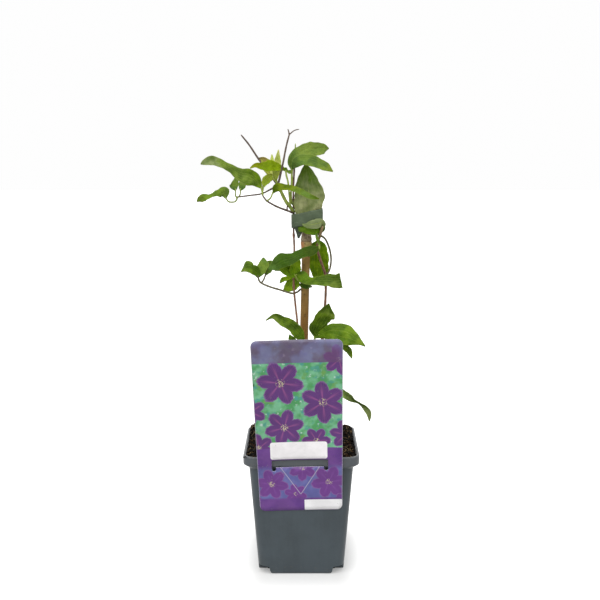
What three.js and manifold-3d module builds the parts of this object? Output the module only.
// A young climbing plant in a square nursery pot: a moulded pot, its compost, a bamboo cane,
// a tape tie, a plastic care label clipped on the rim, two wiry stems and their leaves.
// Millimetres, +Z up. The origin is the middle of the pot's base, and the label is on the -Y side.
import * as THREE from "three";
import { mergeVertices } from "three/addons/utils/BufferGeometryUtils.js";
import Module from "manifold-3d";

const wasm = await Module();
wasm.setup();

// ---- driving dimensions -----------------------------------------------------------------------
const GAP = 0.3; // clearance between pieces that rest on each other

const POT_TOP = 90; // outer width over the rim
const POT_HEIGHT = 99;
const RIM_HEIGHT = 8;
const RIM_OVERHANG = 4.3;
const BASE_WIDTH = 67.4; // outer width at the foot
const WALL = 1.2;
const FLOOR = 2;
const CORNER_RADIUS = 6;
const FOOT_HALF = 24; // half length of each straight foot between the raised corners
const CORNER_LIFT = 5.5; // how far the drained corners stand off the bench
const DRAIN_RADIUS = 2.6;

const SOIL_EDGE = 94.5; // compost height at the wall
const SOIL_MOUND = 6; // how much higher it is in the middle
const SOIL_LOOPS = 7;

const CANE_RADIUS = 3.3;
const CANE_FOOT = [-1.6, 0, 14];
const CANE_TOP = [4.7, 0, 295];
const CANE_NODES = [[126, 0.45], [246, 0.9]]; // each swollen joint: distance from the foot, swelling

const LABEL_WIDTH_TOP = 68;
const LABEL_WIDTH_FOOT = 64;
const LABEL_FOOT = 54.8; // height of its lower edge
const LABEL_HEIGHT = 139.7;
const LABEL_CORNER = 4.5;
const LABEL_THICK = 0.6;
const LABEL_LEAN = 0.195; // how far it leans out for each millimetre of height
const LABEL_ROLL = 0.026; // radians, its top turned towards -X
const SLOT_HALF = 21.6; // the slot that the rim shows through
const SLOT_LOW = 37.2; // up from the label's lower edge
const SLOT_HIGH = 43.2;
const SLOT_EAR = 3.2; // width and depth of the notch at each end of the slot

const TIE_HEIGHT = 10.5;
const TIE_THICK = 0.8;
const TIE_CENTRE = 280;
const TIE_RISE = 0.2; // rise for each millimetre to the right
const TIE_STEPS = 36;
const TIE_LOOP = [
  [-7.7, -4], [-6.6, -8.8], [-1, -11.9], [6, -12.9], [12.8, -11.8], [16.8, -8], [13.6, -1.8],
  [8.5, 3.9], [3.8, 5.2], [-0.8, 3.4], [-5.6, -1],
]; // seen from above
const TIE_TAIL = [
  [-6.6, -9.3, -0.8, -11.9, 277], [-5.6, -9.1, 0, -10.3, 272.5],
  [-4.4, -9.1, -0.8, -9.8, 268.5], [-2.7, -9.3, -1.8, -9.5, 264.5],
]; // each x and y of its left edge, x and y of its right edge, and the height

const BLADE_THICK = 0.8;
const BLADE_STEPS = 9; // along a leaf
const BLADE_CROSS = 4; // across a leaf
const NARROWEST = 0.45; // half width of a blade at its tip

// ---- geometry helpers -------------------------------------------------------------------------
const V = (p) => new THREE.Vector3(p[0], p[1], p[2]);

// A closed body from an indexed list of points.
function body(points, faces) {
  const triVerts = new Uint32Array(faces.flat());
  const vertProperties = new Float32Array(points.flat());
  return new wasm.Manifold(new wasm.Mesh({ numProp: 3, vertProperties, triVerts }));
}

// A closed body from a stack of rings with equal numbers of points, its two ends closed by fans.
function stack(rings, startCentre, endCentre) {
  const n = rings[0].length;
  const points = [...rings.flat(), startCentre, endCentre];
  const faces = [];
  rings.slice(1).forEach((ring, k) => {
    for (let i = 0; i < n; i++) {
      const a = k * n + i;
      const b = k * n + ((i + 1) % n);
      faces.push([a, b, b + n], [a, b + n, a + n]);
    }
  });
  const start = rings.length * n;
  const last = (rings.length - 1) * n;
  for (let i = 0; i < n; i++) {
    faces.push([start, (i + 1) % n, i], [start + 1, last + i, last + ((i + 1) % n)]);
  }
  return body(points, faces);
}

// Rounded square, counter-clockwise from above.
function roundedSquare(half, radius, z, steps = 4) {
  const ring = [];
  for (let corner = 0; corner < 4; corner++) {
    const turn = (corner * Math.PI) / 2;
    const middle = new THREE.Vector2(half - radius, half - radius).rotateAround(new THREE.Vector2(), turn);
    for (let s = 0; s <= steps; s++) {
      const angle = turn + ((s / steps) * Math.PI) / 2;
      ring.push([middle.x + radius * Math.cos(angle), middle.y + radius * Math.sin(angle), z]);
    }
  }
  return ring;
}

// A closed body from a three.js geometry.
function fromGeometry(geometry) {
  const g = geometry.clone();
  g.deleteAttribute("normal");
  g.deleteAttribute("uv");
  const merged = mergeVertices(g, 1e-4);
  return new wasm.Manifold(
    new wasm.Mesh({
      numProp: 3,
      vertProperties: merged.attributes.position.array,
      triVerts: new Uint32Array(merged.index.array),
    }),
  );
}

function join(solids) {
  return solids.reduce((all, next) => all.add(next));
}

// Smooth curve through rows of numbers, whose first three are a point: Catmull-Rom, even in chord length.
function through(rows, steps) {
  const before = rows[0].map((v, i) => 2 * v - rows[1][i]);
  const after = rows.at(-1).map((v, i) => 2 * v - rows.at(-2)[i]);
  const all = [before, ...rows, after];
  const reach = [0];
  rows.slice(1).forEach((row, k) => reach.push(reach[k] + V(row).distanceTo(V(rows[k]))));
  const out = [];
  for (let s = 0; s <= steps; s++) {
    const at = (s / steps) * reach.at(-1);
    let k = 0;
    while (k < rows.length - 2 && at > reach[k + 1]) k++;
    const f = (at - reach[k]) / (reach[k + 1] - reach[k]);
    const [a, b, c, d] = all.slice(k, k + 4);
    out.push(
      b.map(
        (v, i) =>
          0.5 * (2 * v + (c[i] - a[i]) * f + (2 * a[i] - 5 * v + 4 * c[i] - d[i]) * f * f
            + (3 * v - a[i] - 3 * c[i] + d[i]) * f * f * f),
      ),
    );
  }
  return out;
}

// A stem or petiole: a closed tube through points, from one radius to another.
function tube(startRadius, endRadius, points, extra = 0, sides = 6) {
  const span = points.slice(1).reduce((sum, p, k) => sum + V(p).distanceTo(V(points[k])), 0);
  const steps = Math.max(3, Math.min(16, Math.round(span / 5)));
  const path = through(points, steps).map(V);
  let across = new THREE.Vector3(0, -1, 0.02);
  const rings = path.map((p, k) => {
    const along = path[Math.min(k + 1, steps)].clone().sub(path[Math.max(k - 1, 0)]).normalize();
    across = across.clone().addScaledVector(along, -across.dot(along)).normalize();
    const side = new THREE.Vector3().crossVectors(along, across);
    const r = startRadius + ((endRadius - startRadius) * k) / steps + extra;
    return Array.from({ length: sides }, (_, i) => {
      const angle = (i / sides) * 2 * Math.PI;
      const point = p.clone().addScaledVector(across, r * Math.cos(angle));
      return point.addScaledVector(side, r * Math.sin(angle)).toArray();
    });
  });
  return stack(rings, path[0].toArray(), path[steps].toArray());
}

// A leaf blade. Each station is a point of the midrib [x, y, z], the half widths to the left and to
// the right of it, and the roll about it in degrees; at roll 0 the blade faces -Y. cup bends the
// edges forward, and wave ripples them.
function blade({ stations, cup = 0, wave = 0.08, ripples = 2.5 }) {
  const rows = through(stations, BLADE_STEPS);
  const grid = rows.map((row, k) => {
    const rib = V(row);
    const along = V(rows[Math.min(k + 1, BLADE_STEPS)]).sub(V(rows[Math.max(k - 1, 0)])).normalize();
    const upright = new THREE.Vector3(0, -1, 0).cross(along).normalize();
    const facing = new THREE.Vector3().crossVectors(along, upright);
    const roll = THREE.MathUtils.degToRad(row[5]);
    const left = upright.clone().multiplyScalar(Math.cos(roll)).addScaledVector(facing, Math.sin(roll));
    const front = new THREE.Vector3().crossVectors(along, left);
    return Array.from({ length: BLADE_CROSS + 1 }, (_, j) => {
      const v = 1 - (2 * j) / BLADE_CROSS;
      const half = Math.max(v > 0 ? row[3] : row[4], NARROWEST);
      const ripple = wave * Math.sin(2 * Math.PI * ripples * (k / BLADE_STEPS) + (v > 0 ? 0 : 2));
      const edge = rib.clone().addScaledVector(left, half * v);
      return edge.addScaledVector(front, half * (cup + ripple) * v * v);
    });
  });
  return sheet(grid, BLADE_THICK);
}

// A grid of points made into a closed sheet of even thickness, split alike on both faces.
function sheet(grid, thick) {
  const rows = grid.length;
  const cols = grid[0].length;
  const cell = (k, j) => grid[Math.max(0, Math.min(rows - 1, k))][Math.max(0, Math.min(cols - 1, j))];
  const face = (sign) =>
    grid.flatMap((row, k) =>
      row.map((p, j) => {
        const along = cell(k + 1, j).clone().sub(cell(k - 1, j));
        const over = cell(k, j + 1).clone().sub(cell(k, j - 1));
        const normal = over.cross(along).normalize();
        return p.clone().addScaledVector(normal, (sign * thick) / 2).toArray();
      }),
    );
  const points = [...face(1), ...face(-1)];
  const back = rows * cols;
  const faces = [];
  for (let k = 0; k < rows - 1; k++) {
    for (let j = 0; j < cols - 1; j++) {
      const a = k * cols + j;
      const [b, c, d] = [a + 1, a + cols + 1, a + cols];
      faces.push([a, b, c], [a, c, d], [back + a, back + c, back + b], [back + a, back + d, back + c]);
    }
  }
  const edge = (a, b) => faces.push([b, a, back + a], [b, back + a, back + b]);
  for (let j = 0; j < cols - 1; j++) {
    edge(j, j + 1);
    edge((rows - 1) * cols + j + 1, (rows - 1) * cols + j);
  }
  for (let k = 0; k < rows - 1; k++) {
    edge((k + 1) * cols, k * cols);
    edge(k * cols + cols - 1, (k + 1) * cols + cols - 1);
  }
  return body(points, faces);
}

const COLOURS = {
  pot: [0x3d4345, 0.45],
  compost: [0x2e211a, 1],
  cane: [0x8c7446, 0.6],
  tie: [0x4f5c50, 0.5],
  label: [0x6d6286, 0.35],
  stem: [0x5a4438, 0.7],
  leaf: [0x4f6b2c, 0.5],
  fresh_leaf: [0x7f9a2e, 0.5],
};

function named(name, solid, colour) {
  const mesh = solid.getMesh();
  const geometry = new THREE.BufferGeometry();
  const position = new Float32Array(mesh.numVert * 3);
  for (let i = 0; i < mesh.numVert; i++) {
    position.set(mesh.vertProperties.subarray(i * mesh.numProp, i * mesh.numProp + 3), i * 3);
  }
  geometry.setAttribute("position", new THREE.BufferAttribute(position, 3));
  geometry.setIndex(new THREE.BufferAttribute(mesh.triVerts, 1));
  geometry.computeVertexNormals();
  const [tint, roughness] = COLOURS[colour];
  const made = new THREE.Mesh(geometry, new THREE.MeshStandardMaterial({ color: tint, roughness }));
  made.name = name;
  return made;
}

// ---- stems ------------------------------------------------------------------------------------
// Each is [start radius, end radius, points]. The left stem carries a side shoot that ends in
// two bare twigs and two leaf stalks.
const LEFT_STEM = {
  main: [0.95, 0.7, [
    [-3, -7, 70], [-2.5, -7, 98], [-1.5, -7, 134.5], [-2.5, -7, 179.5], [-3, -7, 196], [-4.5, -7, 210.5],
    [-5.5, -7, 221], [-6, -6, 230.5], [-5.5, -4, 254.5], [-6, -3.7, 269], [-6, -3.5, 284],
    [-6.2, -3.2, 300.5], [-5.5, -4, 316], [-4.5, -5, 332.5], [-4.5, -5, 337],
  ]],
  side_shoot: [1.25, 1.05, [
    [-6, -3.6, 284.6], [-8.5, -7, 288.4], [-12, -8, 293], [-15.5, -8, 300], [-18.5, -7, 305.5],
  ]],
  twig_upright: [0.75, 0.5, [
    [-18.5, -7, 304.5], [-17, -10, 309.5], [-14, -12.4, 322.5], [-11.5, -13, 335], [-9, -13, 344.5],
  ]],
  twig_fork_left: [0.45, 0.35, [
    [-9.3, -13, 343.5], [-9.6, -13, 346], [-10.2, -13, 347.8],
  ]],
  twig_fork_right: [0.4, 0.3, [
    [-9.2, -13, 343.8], [-5.5, -13, 346.8], [-2, -13, 347.8],
  ]],
  twig_slant: [0.85, 0.5, [
    [-18.2, -7, 305], [-21, -2, 309], [-25, 1.5, 314], [-33.5, 4, 325.5], [-40.5, 4, 336],
    [-46.5, 3, 343.5],
  ]],
  stalk_far: [0.6, 0.5, [
    [-18.2, -7, 305.3], [-22, -3, 303], [-31, 2, 298.5], [-40.5, 5, 297], [-49.6, 6.9, 295.7],
  ]],
  stalk_near: [0.75, 0.55, [
    [-6, -3.6, 283.6], [-8.6, -6.6, 284.8], [-12, -8, 286.2], [-19, -10, 289], [-26.5, -13, 293.5],
    [-29.6, -13.2, 297.5],
  ]],
  stub: [0.5, 0.45, [
    [-10.8, -7.6, 285.3], [-11, -9, 288], [-10.8, -9.6, 289.6],
  ]],
};
const RIGHT_STEM = {
  main: [0.95, 1.05, [
    [5.5, 4, 70], [6.5, 4, 98], [12, 3, 132], [16.5, 2, 177.5], [19, 2, 210], [19.5, 1, 226], [19, 0, 235],
    [14.5, -3, 248.5], [12.5, -6, 256.5], [14, -7, 264.5], [17, -6.6, 272.5],
  ]],
};

function stem(parts, extra = 0) {
  return join(Object.values(parts).map(([a, b, points]) => tube(a, b, points, extra)));
}

// ---- leaves -----------------------------------------------------------------------------------
// Each leaf is one or more stalks and the blades on them. stem names what its stalk grows from.
const LEAVES = {
  leaf_far: {
    stem: "left",
    stalks: [
      [0.45, 0.4, [
        [-50.6, 7, 295.5], [-51, 6, 293.5], [-52.5, 5, 292], [-55.5, 4, 291.8], [-57.5, 3, 292.5],
        [-59.5, 1.8, 295.5],
      ]],
      [0.4, 0.4, [
        [-50.8, 7, 294.8], [-52, 7.5, 297], [-52, 8, 302],
      ]],
      [0.4, 0.4, [
        [-50.8, 7, 294.8], [-48.5, 7.7, 297.2], [-48, 8, 302],
      ]],
    ],
    blades: [
      { cup: -0.1, stations: [
        [-59, 2, 294.5, 0.4, 0.4, 0], [-61, 1.5, 298.5, 3.2, 5.4, 0], [-65.5, 1.5, 299, 3.4, 3.6, 45],
        [-71.5, 2.5, 296.5, 2.4, 2.6, 50], [-77, 4.5, 295, 3, 3.2, 15], [-80, 5.5, 294, 2.4, 2.4, 0],
        [-82.5, 7, 292, 0.4, 0.4, 0],
      ] },
      { cup: 0.1, stations: [
        [-52, 8, 300.5, 0.4, 0.4, 0], [-52, 8.5, 303, 4.8, 1.6, 15], [-52, 11, 306.5, 3.2, 2.6, 20],
        [-51.5, 15, 312, 0.4, 0.4, 0],
      ] },
      { cup: 0.1, stations: [
        [-48, 8, 300.5, 0.4, 0.4, 0], [-47, 8.5, 303.5, 2.6, 2.8, -15],
        [-45.5, 11.5, 307.5, 3.2, 3.6, -20], [-42, 16, 312, 0.4, 0.4, 0],
      ] },
    ],
  },
  leaf_long: {
    stem: "left",
    stalks: [
      [0.5, 0.5, [
        [-29.6, -13.2, 298.2], [-30.4, -12.5, 302], [-30.6, -12.1, 304.5],
      ]],
      [0.5, 0.5, [
        [-30, -13, 299.5], [-29.5, -11.5, 303], [-29, -10.5, 305],
      ]],
    ],
    blades: [
      { cup: 0.1, stations: [
        [-30.5, -12, 303, 0.4, 0.4, 0], [-35, -13.5, 308.5, 4.6, 4.8, 10], [-41, -14.5, 312, 7, 6.2, 20],
        [-48, -14.5, 314, 5.2, 4.6, 25], [-53.5, -15, 318, 5.2, 3.8, 45], [-61, -16, 322, 5.2, 3.6, 50],
        [-68.5, -17, 324, 4.2, 3.8, 30], [-73.5, -18, 323, 2.6, 2.4, 15], [-76.5, -18, 321.5, 0.4, 0.4, 0],
      ] },
      { cup: 0.2, stations: [
        [-29.5, -11, 303.5, 0.4, 0.4, 0], [-27.5, -9, 308, 3.8, 2.6, 15], [-25, -8.5, 311.5, 3.2, 3.2, 15],
        [-22.5, -8.5, 314, 0.4, 0.4, 0],
      ] },
    ],
  },
  leaf_across: {
    stem: "left",
    stalks: [
      [0.45, 0.45, [
        [-26.5, -13, 293.5], [-23.5, -15, 296], [-21.5, -15.2, 301],
      ]],
    ],
    blades: [
      { cup: 0.15, stations: [
        [-21.5, -15, 299.5, 0.4, 0.4, 0], [-18.5, -17.5, 303.6, 3.4, 3.2, -20],
        [-12.5, -19, 303.6, 3, 2.8, -40], [-5.5, -20.5, 302.6, 2.6, 2.6, -40],
        [1.5, -21, 299.3, 2.8, 2.6, -35], [7.5, -21.5, 296.8, 2, 2, -25],
        [13.5, -22, 295.5, 0.4, 0.4, 0],
      ] },
    ],
  },
  leaf_lime: {
    stem: "left",
    fresh: true,
    stalks: [
      [0.5, 0.5, [
        [-6, -3.6, 286], [-8.2, -8.3, 289], [-9, -10.5, 294], [-10, -11, 306.5], [-11.5, -10, 313],
        [-12, -9, 317],
      ]],
    ],
    blades: [
      { cup: 0.15, stations: [
        [-11.5, -9, 316.5, 0.4, 0.4, 0], [-15.5, -10.5, 318.5, 2.4, 2.2, 30], [-20, -12, 319.5, 4, 4, 30],
        [-25.5, -14.5, 319.5, 4.6, 5, 30], [-31, -15.5, 320, 3, 2.6, 25],
        [-35, -16.5, 320.5, 1.8, 1.8, 20], [-39, -18, 318.5, 0.4, 0.4, 0],
      ] },
    ],
  },
  shoot_tip: {
    stem: "left",
    fresh: true,
    stalks: [
      [0.7, 0.6, [
        [-18.7, -6.2, 307], [-19.5, -5, 309], [-19.8, -4.5, 312],
      ]],
    ],
    blades: [
      { cup: 0.2, stations: [
        [-19.5, -5, 308, 0.4, 0.4, 0], [-22.5, -4.5, 314.5, 4.6, 3.8, 15], [-26, -3.5, 321, 6.2, 3.6, 15],
        [-29.5, -2, 325, 4.2, 2, 10], [-33.5, -1, 326, 0.4, 0.4, 0],
      ] },
      { cup: 0.3, wave: 0, stations: [
        [-19.5, -5, 308.5, 0.6, 0.6, 0], [-19.5, -6, 314.5, 2.8, 2.2, 15], [-18.5, -7, 323, 2.4, 2.2, 20],
        [-17.5, -8, 332.5, 0.4, 0.4, 0],
      ] },
      { cup: 0.3, wave: 0, stations: [
        [-20, -4, 308.5, 0.6, 0.6, 0], [-21.5, -1.5, 314.5, 2.2, 2.6, -20],
        [-22.5, 0.5, 322.5, 1.6, 1.8, -20], [-23, 2, 329, 0.4, 0.4, 0],
      ] },
    ],
  },
  leaf_top: {
    stem: "left",
    stalks: [
      [0.65, 0.55, [
        [-6, -3.4, 290], [-7.7, -6.4, 292.5], [-8, -8, 299], [-7.3, -9, 309.5], [-7.5, -8.5, 318],
      ]],
      [0.5, 0.5, [
        [-7.2, -9, 314], [-7, -10.5, 317], [-6, -12, 319.5],
      ]],
    ],
    blades: [
      { cup: 0.12, stations: [
        [-7.5, -8, 317, 0.4, 0.4, 0], [-7.5, -8.5, 323, 3.2, 4.2, -15], [-4.5, -9, 328.5, 4, 6.6, -25],
        [2, -7.5, 332, 4.8, 7.8, -25], [9.5, -5, 333.5, 5, 7.2, -20], [16.5, -1, 334, 3.4, 4.8, -15],
        [21.5, 2, 333.5, 0.4, 0.4, 0],
      ] },
      { cup: 0.1, stations: [
        [-7, -11, 317.5, 0.4, 0.4, 0], [-3.5, -15, 322.5, 4.2, 3.6, -20], [3.5, -17.5, 324.5, 5, 4.6, -25],
        [11, -19.5, 322.5, 4.6, 4.2, -25], [18, -20.5, 319.5, 3.8, 3.4, -20], [24, -21, 316, 0.4, 0.4, 0],
      ] },
    ],
  },
  leaf_tied: {
    stem: "right",
    stalks: [
      [0.5, 0.6, [
        [19.2, 0, 235], [22, 0, 237.5], [23.5, 0, 245], [23, -1.5, 252], [21, -5, 259], [18, -8.5, 264.5],
        [13, -10.5, 267.5], [7.5, -9.5, 270.5],
      ]],
    ],
    blades: [
      { cup: -0.28, wave: 0, stations: [
        [7.5, -9, 269.5, 1, 1, 0], [6.5, -9.5, 276, 7, 6.4, 0], [5.5, -9.5, 286.5, 10.4, 9.8, 0],
        [6, -8.5, 295.5, 11.8, 12.2, 0], [5.5, -6.5, 303, 10.6, 10.6, 0], [4.5, -4.5, 311, 7.8, 7.8, 0],
        [4, -2, 317, 4.4, 4.2, 0], [3.5, -0.5, 322, 0.4, 0.4, 0],
      ] },
      { cup: -0.15, wave: 0.1, stations: [
        [14.5, -10, 271, 1, 1, 0], [10.5, -11.5, 270.6, 3.6, 4, 0], [5.5, -12, 271.4, 3.6, 3.4, 0],
        [1, -12, 271.8, 2.6, 1.4, 0], [-2, -11.6, 272.4, 0.6, 0.6, 0],
      ] },
      { cup: -0.1, wave: 0.04, stations: [
        [15.5, -9, 271, 0.6, 0.6, 0], [17.6, -12, 274.6, 2.2, 2.2, 0], [16.4, -14.6, 277, 2.6, 2.6, 0],
        [12.6, -15, 276.4, 3.4, 3.6, 0], [8, -14.8, 275.4, 3.2, 3.2, 0], [3.8, -14.4, 274.9, 1.6, 1.6, 0],
        [0.6, -13.8, 275.4, 0.4, 0.4, 0],
      ] },
    ],
  },
  leaf_mid_long: {
    stem: "right",
    stalks: [
      [0.5, 0.5, [
        [14, -7, 264], [13.2, -9.8, 262], [14, -10.5, 259.5], [14, -11, 256.5],
      ]],
    ],
    blades: [
      { cup: -0.15, stations: [
        [14.5, -10.5, 258, 0.4, 0.4, 0], [9, -13, 255.5, 4, 3.6, 10], [1.5, -15.5, 254, 4, 3.8, 30],
        [-6.5, -18, 250, 4.6, 4.4, 30], [-14, -19.5, 248, 5.4, 6.4, 20], [-20, -20, 244.5, 4.2, 4, 10],
        [-25.5, -20.5, 241, 0.4, 0.4, 0],
      ] },
    ],
  },
  leaf_mid_left: {
    stem: "left",
    stalks: [
      [0.55, 0.5, [
        [-5.5, -7, 220.5], [-9.5, -8.4, 221.5], [-15, -10, 223.5], [-25, -13, 227], [-32, -13, 230.5],
        [-33.8, -13.4, 235.5],
      ]],
      [0.45, 0.45, [
        [-31, -13, 229.8], [-29, -13, 233], [-27.6, -12.5, 237],
      ]],
    ],
    blades: [
      { cup: -0.1, stations: [
        [-33.5, -13, 233.5, 0.4, 0.4, 0], [-35, -14.5, 238, 2.8, 4.2, 20], [-38.5, -17, 241.5, 3, 4, 25],
        [-42.5, -17.5, 243, 2.8, 3.6, 20], [-46, -19, 239.5, 0.4, 0.4, 0],
      ] },
      { cup: 0.1, stations: [
        [-33.5, -13, 234, 0.4, 0.4, 0], [-32, -12, 239.5, 3.8, 5, -25], [-30.5, -10, 244.5, 3, 3.8, -25],
        [-29.5, -7.5, 248.5, 0.4, 0.4, 0],
      ] },
      { cup: 0.1, stations: [
        [-28, -12.5, 235.5, 0.4, 0.4, 0], [-26, -11, 240, 3.4, 3.2, 20], [-25, -9, 244, 3.2, 2.6, 20],
        [-23, -6.5, 246.5, 0.4, 0.4, 0],
      ] },
    ],
  },
  leaf_mid: {
    stem: "left",
    stalks: [
      [0.55, 0.55, [
        [-5.2, -6.6, 221], [-2.6, -2.4, 221.5], [-0.8, 2.8, 222.5], [3, 4.8, 223.6], [7, 2.8, 224.6],
        [7.8, -1.6, 225.6], [5, -4.8, 226.8], [0.5, -6.2, 229], [-3, -8.3, 232], [-5, -9.5, 235.5],
      ]],
      [0.45, 0.45, [
        [-2.4, -8.2, 231.5], [-2.6, -5.5, 233], [-4.5, -3.6, 234.3],
      ]],
      [0.5, 0.5, [
        [-3.5, -8.6, 232.5], [-4, -9.5, 235.5], [-2.5, -10.5, 236.3],
      ]],
    ],
    blades: [
      { cup: 0.1, stations: [
        [-5, -9.5, 234, 0.6, 0.6, 0], [-11, -11, 238, 3.2, 5.4, 25], [-16, -14, 241, 2.4, 4.8, 20],
        [-20.5, -16, 240, 0.4, 0.4, 0],
      ] },
      { cup: 0.1, stations: [
        [-5, -9.5, 234, 0.6, 0.6, 0], [-5, -10, 239.5, 5, 4.6, 20], [-3.5, -9.5, 245, 3.8, 3.2, 20],
        [-2, -9, 250.5, 0.4, 0.4, 0],
      ] },
      { cup: 0.1, stations: [
        [-4, -3.5, 234.5, 0.6, 0.6, 0], [-7, -2, 230, 6, 4.2, 20], [-10.5, 0.5, 225, 4.8, 3.2, 20],
        [-14.5, 3.5, 220.5, 0.4, 0.4, 0],
      ] },
      { cup: 0.1, stations: [
        [-4, -3.5, 234, 0.4, 0.4, 0], [-10.5, -3, 232, 1.4, 2, 20], [-14.5, -2, 231, 1.8, 1.8, 15],
        [-17, -0.5, 228, 0.4, 0.4, 0],
      ] },
      { cup: -0.1, stations: [
        [-4, -10, 236, 0.6, 0.6, 0], [0, -12.5, 235, 4.4, 4.6, -10], [6.5, -16.5, 232, 3.4, 4, -40],
        [14, -19.5, 232.5, 4.4, 4.2, -40], [20.5, -22, 233, 5.2, 4.8, -25],
        [25.5, -23, 232.5, 5.4, 5.4, -10], [30.5, -25, 233.5, 5.6, 6, 0],
      ] },
    ],
  },
  leaf_hanging: {
    stem: "right",
    stalks: [
      [0.5, 0.5, [
        [13.2, -6.6, 261], [12.6, -3, 263], [13.2, 0, 263], [13.4, 2.4, 260.5],
      ]],
    ],
    blades: [
      { cup: -0.1, stations: [
        [13.5, 1, 262.5, 0.4, 0.4, 0], [13.5, 4, 258.5, 6.4, 5.2, 10], [13, 6, 252.5, 8.6, 6.4, 15],
        [13, 8, 246, 9.2, 7, 15], [13, 10, 239, 9.4, 6.2, 15], [13.5, 11.5, 232.5, 6.6, 4.6, 10],
        [14, 12, 225.5, 0.4, 0.4, 0],
      ] },
    ],
  },
  leaf_low_left: {
    stem: "left",
    stalks: [
      [0.6, 0.5, [
        [-1.9, -6.9, 165.5], [0.5, -8, 170], [2, -7.6, 176], [2.4, -8.6, 182.5],
      ]],
    ],
    blades: [
      { cup: 0.2, stations: [
        [2.5, -8, 181, 0.4, 0.4, 0], [-2, -12, 189.5, 4.8, 4.2, 25], [-8, -16.5, 196.5, 5, 4.6, 30],
        [-14.5, -20, 201.5, 4.6, 3.2, 25], [-20, -22, 204.5, 3.2, 2.6, 20],
        [-23.5, -23, 204.5, 1.4, 1, 15], [-27.5, -24, 202, 0.4, 0.4, 0],
      ] },
    ],
  },
  leaf_low_right: {
    stem: "right",
    stalks: [
      [0.65, 0.55, [
        [15.5, 2.2, 168.5], [12.5, -3, 174], [10.8, -6.5, 180], [10.6, -9, 187.5],
      ]],
      [0.45, 0.4, [
        [14, -11.5, 188.5], [20, -13.2, 189], [27, -13.6, 187], [31.5, -13.6, 183.5],
      ]],
    ],
    blades: [
      { cup: 0.15, stations: [
        [10.5, -9, 186.5, 0.6, 0.6, 0], [11.5, -12, 194, 5.8, 5.4, 15], [14.5, -14.5, 201, 5.8, 7, 20],
        [18, -17, 207.5, 4.8, 8.8, 15], [21.5, -19, 214.5, 0.4, 0.4, 0],
      ] },
      { cup: -0.15, stations: [
        [10.5, -9, 185.5, 0.6, 0.6, 0], [16.5, -13.5, 190, 3, 4.8, -15], [24, -19, 193.5, 5.2, 9, -20],
        [33.5, -22.5, 193, 6, 11.6, -20], [41, -24.5, 189.5, 3.8, 8.6, -20],
        [46, -25.5, 185.5, 1.4, 3.2, -15], [49.5, -26, 182, 0.4, 0.4, 0],
      ] },
      { cup: 0.2, stations: [
        [31, -13.5, 184.5, 0.4, 0.4, 0], [34.5, -14.5, 180, 2.8, 2.8, 20],
        [37.5, -17, 176.5, 2.8, 2.4, 20], [39.5, -19, 171, 0.4, 0.4, 0],
      ] },
    ],
  },
  leaf_droop: {
    stem: "right",
    stalks: [
      [0.6, 0.5, [
        [12, 3, 132], [16.5, -6, 144.5], [22.5, -13, 149.5], [28.5, -16.2, 148],
      ]],
    ],
    blades: [
      { cup: 0.2, stations: [
        [28, -16, 148.5, 0.4, 0.4, 0], [34, -18.5, 142.5, 2.8, 2.6, 0], [39.5, -21.5, 139.5, 3, 2.6, 20],
        [44.5, -24, 137.5, 2.6, 2.4, 60], [49.5, -26.5, 134, 2.4, 2.4, 40],
        [52.5, -28.5, 129.5, 2.2, 2, 0], [53, -30, 123.5, 0.4, 0.4, 0],
      ] },
    ],
  },
  leaf_low_back: {
    stem: "left",
    stalks: [
      [0.5, 0.5, [
        [-2.2, -7, 168.5], [-4.4, -5.4, 170], [-5, -3.6, 174],
      ]],
    ],
    blades: [
      { cup: 0.2, stations: [
        [-5, -3.5, 172, 0.4, 0.4, 0], [-6, -1.5, 178, 3.2, 3.2, 20], [-7.5, 0.5, 182, 3, 3, 20],
        [-9.5, 3, 186, 0.4, 0.4, 0],
      ] },
    ],
  },
};

function leaf({ stalks, blades, stem: side }) {
  const grown = join([...stalks.map(([a, b, points]) => tube(a, b, points)), ...blades.map(blade)]);
  const seated = grown.subtract(stem(side === "left" ? LEFT_STEM : RIGHT_STEM, GAP));
  return seated.decompose().reduce((most, next) => (next.volume() > most.volume() ? next : most));
}

// ---- pot, compost, cane, tie and label --------------------------------------------------------
const RIM_BOTTOM = POT_HEIGHT - RIM_HEIGHT;
const NECK_HALF = POT_TOP / 2 - RIM_OVERHANG;
const QUADRANTS = [[1, 1], [-1, 1], [-1, -1], [1, -1]];

// Half width of the pot's tapered wall at a height.
function wallHalf(z) {
  return BASE_WIDTH / 2 + ((NECK_HALF - BASE_WIDTH / 2) * z) / RIM_BOTTOM;
}

// Four square blocks over the pot's raised corners, from z0 up to z1, grown inwards by extra.
function corners(z0, z1, extra = 0) {
  const inner = FOOT_HALF - extra;
  const middle = inner + POT_TOP / 2;
  return join(
    QUADRANTS.map(([sx, sy]) => {
      const block = new THREE.BoxGeometry(POT_TOP, POT_TOP, z1 - z0);
      block.translate(sx * middle, sy * middle, (z0 + z1) / 2);
      return fromGeometry(block);
    }),
  );
}

// The room inside the pot, drawn in by inset from its walls and floor.
function potRoom(inset, top) {
  const neck = RIM_BOTTOM - 1;
  const corner = CORNER_RADIUS - WALL;
  const rim = POT_TOP / 2 - WALL - inset;
  const rings = [
    roundedSquare(wallHalf(FLOOR) - WALL - inset, corner, FLOOR + inset),
    roundedSquare(wallHalf(neck) - WALL - inset, corner, neck),
    roundedSquare(rim - 1, corner, RIM_BOTTOM + FLOOR),
    roundedSquare(rim, corner, top),
  ];
  const room = stack(rings, [0, 0, FLOOR + inset], [0, 0, top]);
  return room.subtract(corners(-1, CORNER_LIFT + FLOOR + inset, inset));
}

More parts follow.
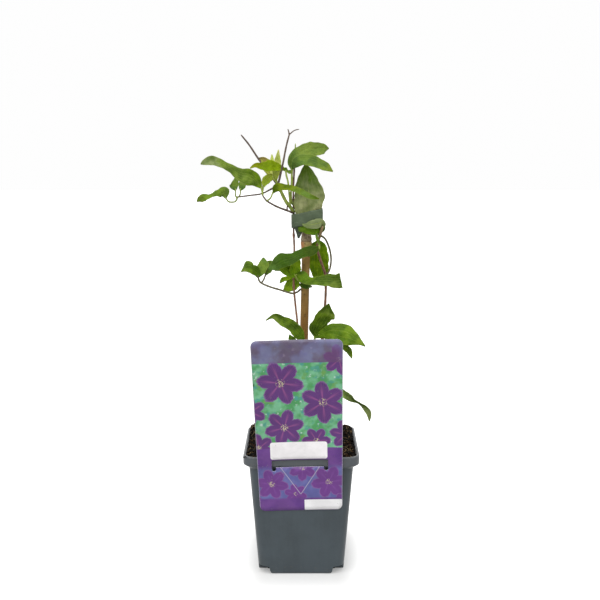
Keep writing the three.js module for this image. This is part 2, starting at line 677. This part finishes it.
function drain(sx, sy) {
  const at = FOOT_HALF + DRAIN_RADIUS + 1.6;
  const [x, y] = [sx * at, sy * at];
  const [low, high] = [CORNER_LIFT - FLOOR, CORNER_LIFT + 2 * FLOOR];
  return tube(DRAIN_RADIUS, DRAIN_RADIUS, [[x, y, low], [x, y, (low + high) / 2], [x, y, high]], 0, 12);
}

function pot() {
  const round = 0.6; // how far its edges are eased
  const rings = [
    roundedSquare(BASE_WIDTH / 2 - round, CORNER_RADIUS - round, 0),
    roundedSquare(BASE_WIDTH / 2, CORNER_RADIUS, round),
    roundedSquare(wallHalf(RIM_BOTTOM - 1.5), CORNER_RADIUS, RIM_BOTTOM - 1.5),
    roundedSquare(POT_TOP / 2 - round, CORNER_RADIUS, RIM_BOTTOM),
    roundedSquare(POT_TOP / 2, CORNER_RADIUS, RIM_BOTTOM + round),
    roundedSquare(POT_TOP / 2, CORNER_RADIUS, POT_HEIGHT - round),
    roundedSquare(POT_TOP / 2 - round / 2, CORNER_RADIUS, POT_HEIGHT),
  ];
  const outside = stack(rings, [0, 0, 0], [0, 0, POT_HEIGHT]);
  const shell = outside.subtract(corners(-1, CORNER_LIFT)).subtract(potRoom(0, POT_HEIGHT + 1));
  return QUADRANTS.reduce((made, [sx, sy]) => made.subtract(drain(sx, sy)), shell);
}

// Height of the compost: a low mound with clods, flatter towards the wall.
function soilHeight(x, y) {
  const out = Math.min(1, Math.max(Math.abs(x), Math.abs(y)) / (POT_TOP / 2));
  const mound = SOIL_MOUND * (1 - out * out);
  const lumps = 0.9 * Math.sin(x * 0.31 + 1.7 * Math.sin(y * 0.23)) * Math.cos(y * 0.37 + 0.8);
  const clods = 0.6 * Math.sin(x * 0.83 + y * 0.61 + 2) + 0.4 * Math.sin(x * 1.3 - y * 1.1);
  return SOIL_EDGE + mound + (lumps + clods) * (1 - 0.5 * out ** 4);
}

// One loop of the compost's surface, at a share of the way from the middle to the wall.
function soilLoop(share) {
  const [cornerSteps, sideSteps] = [3, 6];
  const half = (POT_TOP / 2 - 1) * share;
  const ring = roundedSquare(half, Math.min(CORNER_RADIUS - 1, half * 0.9), 0, cornerSteps);
  return ring.flatMap(([x0, y0], i) => {
    const [x1, y1] = ring[(i + 1) % ring.length];
    const cuts = i % (cornerSteps + 1) === cornerSteps ? sideSteps : 1;
    return Array.from({ length: cuts }, (_, c) => {
      const x = x0 + ((x1 - x0) * c) / cuts;
      const y = y0 + ((y1 - y0) * c) / cuts;
      return [x, y, soilHeight(x, y)];
    });
  });
}

function compost() {
  const loops = Array.from({ length: SOIL_LOOPS }, (_, k) => soilLoop(1 - k / SOIL_LOOPS));
  const skirt = loops[0].map(([x, y]) => [x, y, 0]);
  return stack([skirt, ...loops], [0, 0, 0], [0, 0, soilHeight(0, 0)])
    .intersect(potRoom(GAP, POT_HEIGHT + SOIL_MOUND))
    .subtract(cane(GAP))
    .subtract(stem({ main: LEFT_STEM.main }, GAP))
    .subtract(stem({ main: RIGHT_STEM.main }, GAP));
}

// The cane, or with extra the slightly larger hole that it stands in.
function cane(extra = 0) {
  const foot = V(CANE_FOOT);
  const axis = V(CANE_TOP).sub(foot);
  const r = CANE_RADIUS + extra;
  const top = axis.length() + extra;
  const profile = [[0, -extra], [r - 0.4, -extra], [r - 0.2, 4]];
  for (const [at, swell] of CANE_NODES) {
    profile.push([r - 0.1, at - 8], [r + swell * 0.3, at - 2], [r + swell, at], [r + swell * 0.5, at + 2]);
    profile.push([r, at + 9]);
  }
  profile.push([r - 0.1, top - 0.4], [r - 0.4, top], [0, top]);
  const turned = new THREE.LatheGeometry(profile.map(([x, z]) => new THREE.Vector2(x, z)), 16);
  const lean = new THREE.Quaternion().setFromUnitVectors(new THREE.Vector3(0, 1, 0), axis.normalize());
  return fromGeometry(turned.applyQuaternion(lean).translate(...CANE_FOOT));
}

// Height of the middle of the tape, which rises to the right.
function tieMiddle(x) {
  return TIE_CENTRE + TIE_RISE * (x - 5);
}

// The tape runs round the cane, the left stem and the foot of one leaf; its cut end hangs down.
function tie() {
  const loop = new THREE.CatmullRomCurve3(TIE_LOOP.map(([x, y]) => new THREE.Vector3(x, y, 0)), true);
  const ring = (offset, side) =>
    Array.from({ length: TIE_STEPS }, (_, i) => {
      const p = loop.getPointAt(i / TIE_STEPS);
      const t = loop.getTangentAt(i / TIE_STEPS);
      const x = p.x + t.y * offset;
      return [x, p.y - t.x * offset, tieMiddle(x) + (side * TIE_HEIGHT) / 2];
    });
  const half = TIE_THICK / 2;
  const rings = [ring(half, -1), ring(half, 1), ring(-half, 1), ring(-half, -1)];
  const faces = [];
  for (let k = 0; k < rings.length; k++) {
    for (let i = 0; i < TIE_STEPS; i++) {
      const next = (i + 1) % TIE_STEPS;
      const [a, b] = [k * TIE_STEPS + i, k * TIE_STEPS + next];
      const over = ((k + 1) % rings.length) * TIE_STEPS;
      faces.push([a, b, over + next], [a, over + next, over + i]);
    }
  }
  const tail = TIE_TAIL.map(([x0, y0, x1, y1, z]) =>
    [0, 0.5, 1].map((f) => new THREE.Vector3(x0 + (x1 - x0) * f, y0 + (y1 - y0) * f, z)));
  return body(rings.flat(), faces).add(sheet(tail, TIE_THICK));
}

// The label's outline in its own plane, x across and y up from its lower edge.
function labelOutline() {
  const top = LABEL_WIDTH_TOP / 2 - LABEL_CORNER;
  const foot = LABEL_WIDTH_FOOT / 2 - LABEL_CORNER;
  const [low, high] = [LABEL_CORNER, LABEL_HEIGHT - LABEL_CORNER];
  const shape = new THREE.Shape();
  shape.absarc(foot, low, LABEL_CORNER, -Math.PI / 2, 0);
  shape.absarc(top, high, LABEL_CORNER, 0, Math.PI / 2);
  shape.absarc(-top, high, LABEL_CORNER, Math.PI / 2, Math.PI);
  shape.absarc(-foot, low, LABEL_CORNER, Math.PI, 1.5 * Math.PI);
  shape.closePath();
  return shape;
}

// The slot, with a round-ended notch cut down at each end.
function labelSlot() {
  const ear = SLOT_EAR / 2;
  const floor = SLOT_LOW - SLOT_EAR + ear;
  const slot = new THREE.Path();
  slot.moveTo(-SLOT_HALF, SLOT_HIGH);
  slot.lineTo(SLOT_HALF, SLOT_HIGH);
  slot.absarc(SLOT_HALF - ear, floor, ear, 0, -Math.PI, true);
  slot.lineTo(SLOT_HALF - SLOT_EAR, SLOT_LOW);
  slot.lineTo(-SLOT_HALF + SLOT_EAR, SLOT_LOW);
  slot.absarc(-SLOT_HALF + ear, floor, ear, 0, -Math.PI, true);
  slot.closePath();
  return slot;
}

function label() {
  const shape = labelOutline();
  shape.holes.push(labelSlot());
  const options = { depth: LABEL_THICK, bevelEnabled: false, curveSegments: 6 };
  const card = new THREE.ExtrudeGeometry(shape, options);
  card.rotateX(Math.PI / 2); // up is now +Z, and the thickness runs from 0 towards -Y
  card.rotateY(-LABEL_ROLL);
  const lean = new THREE.Matrix4().makeShear(0, 0, 0, 0, 0, -LABEL_LEAN);
  card.applyMatrix4(lean);
  card.translate(0, -wallHalf(LABEL_FOOT) - GAP, LABEL_FOOT);
  return fromGeometry(card);
}

// ---- assembly ---------------------------------------------------------------------------------
const plant = new THREE.Group();
plant.name = "potted_climber";
plant.add(named("pot", pot(), "pot"));
plant.add(named("compost", compost(), "compost"));
plant.add(named("cane", cane(), "cane"));
plant.add(named("tie", tie(), "tie"));
plant.add(named("label", label(), "label"));
plant.add(named("stem_left", stem(LEFT_STEM), "stem"));
plant.add(named("stem_right", stem(RIGHT_STEM), "stem"));
for (const [name, parts] of Object.entries(LEAVES)) {
  plant.add(named(name, leaf(parts), parts.fresh ? "fresh_leaf" : "leaf"));
}

export default plant;
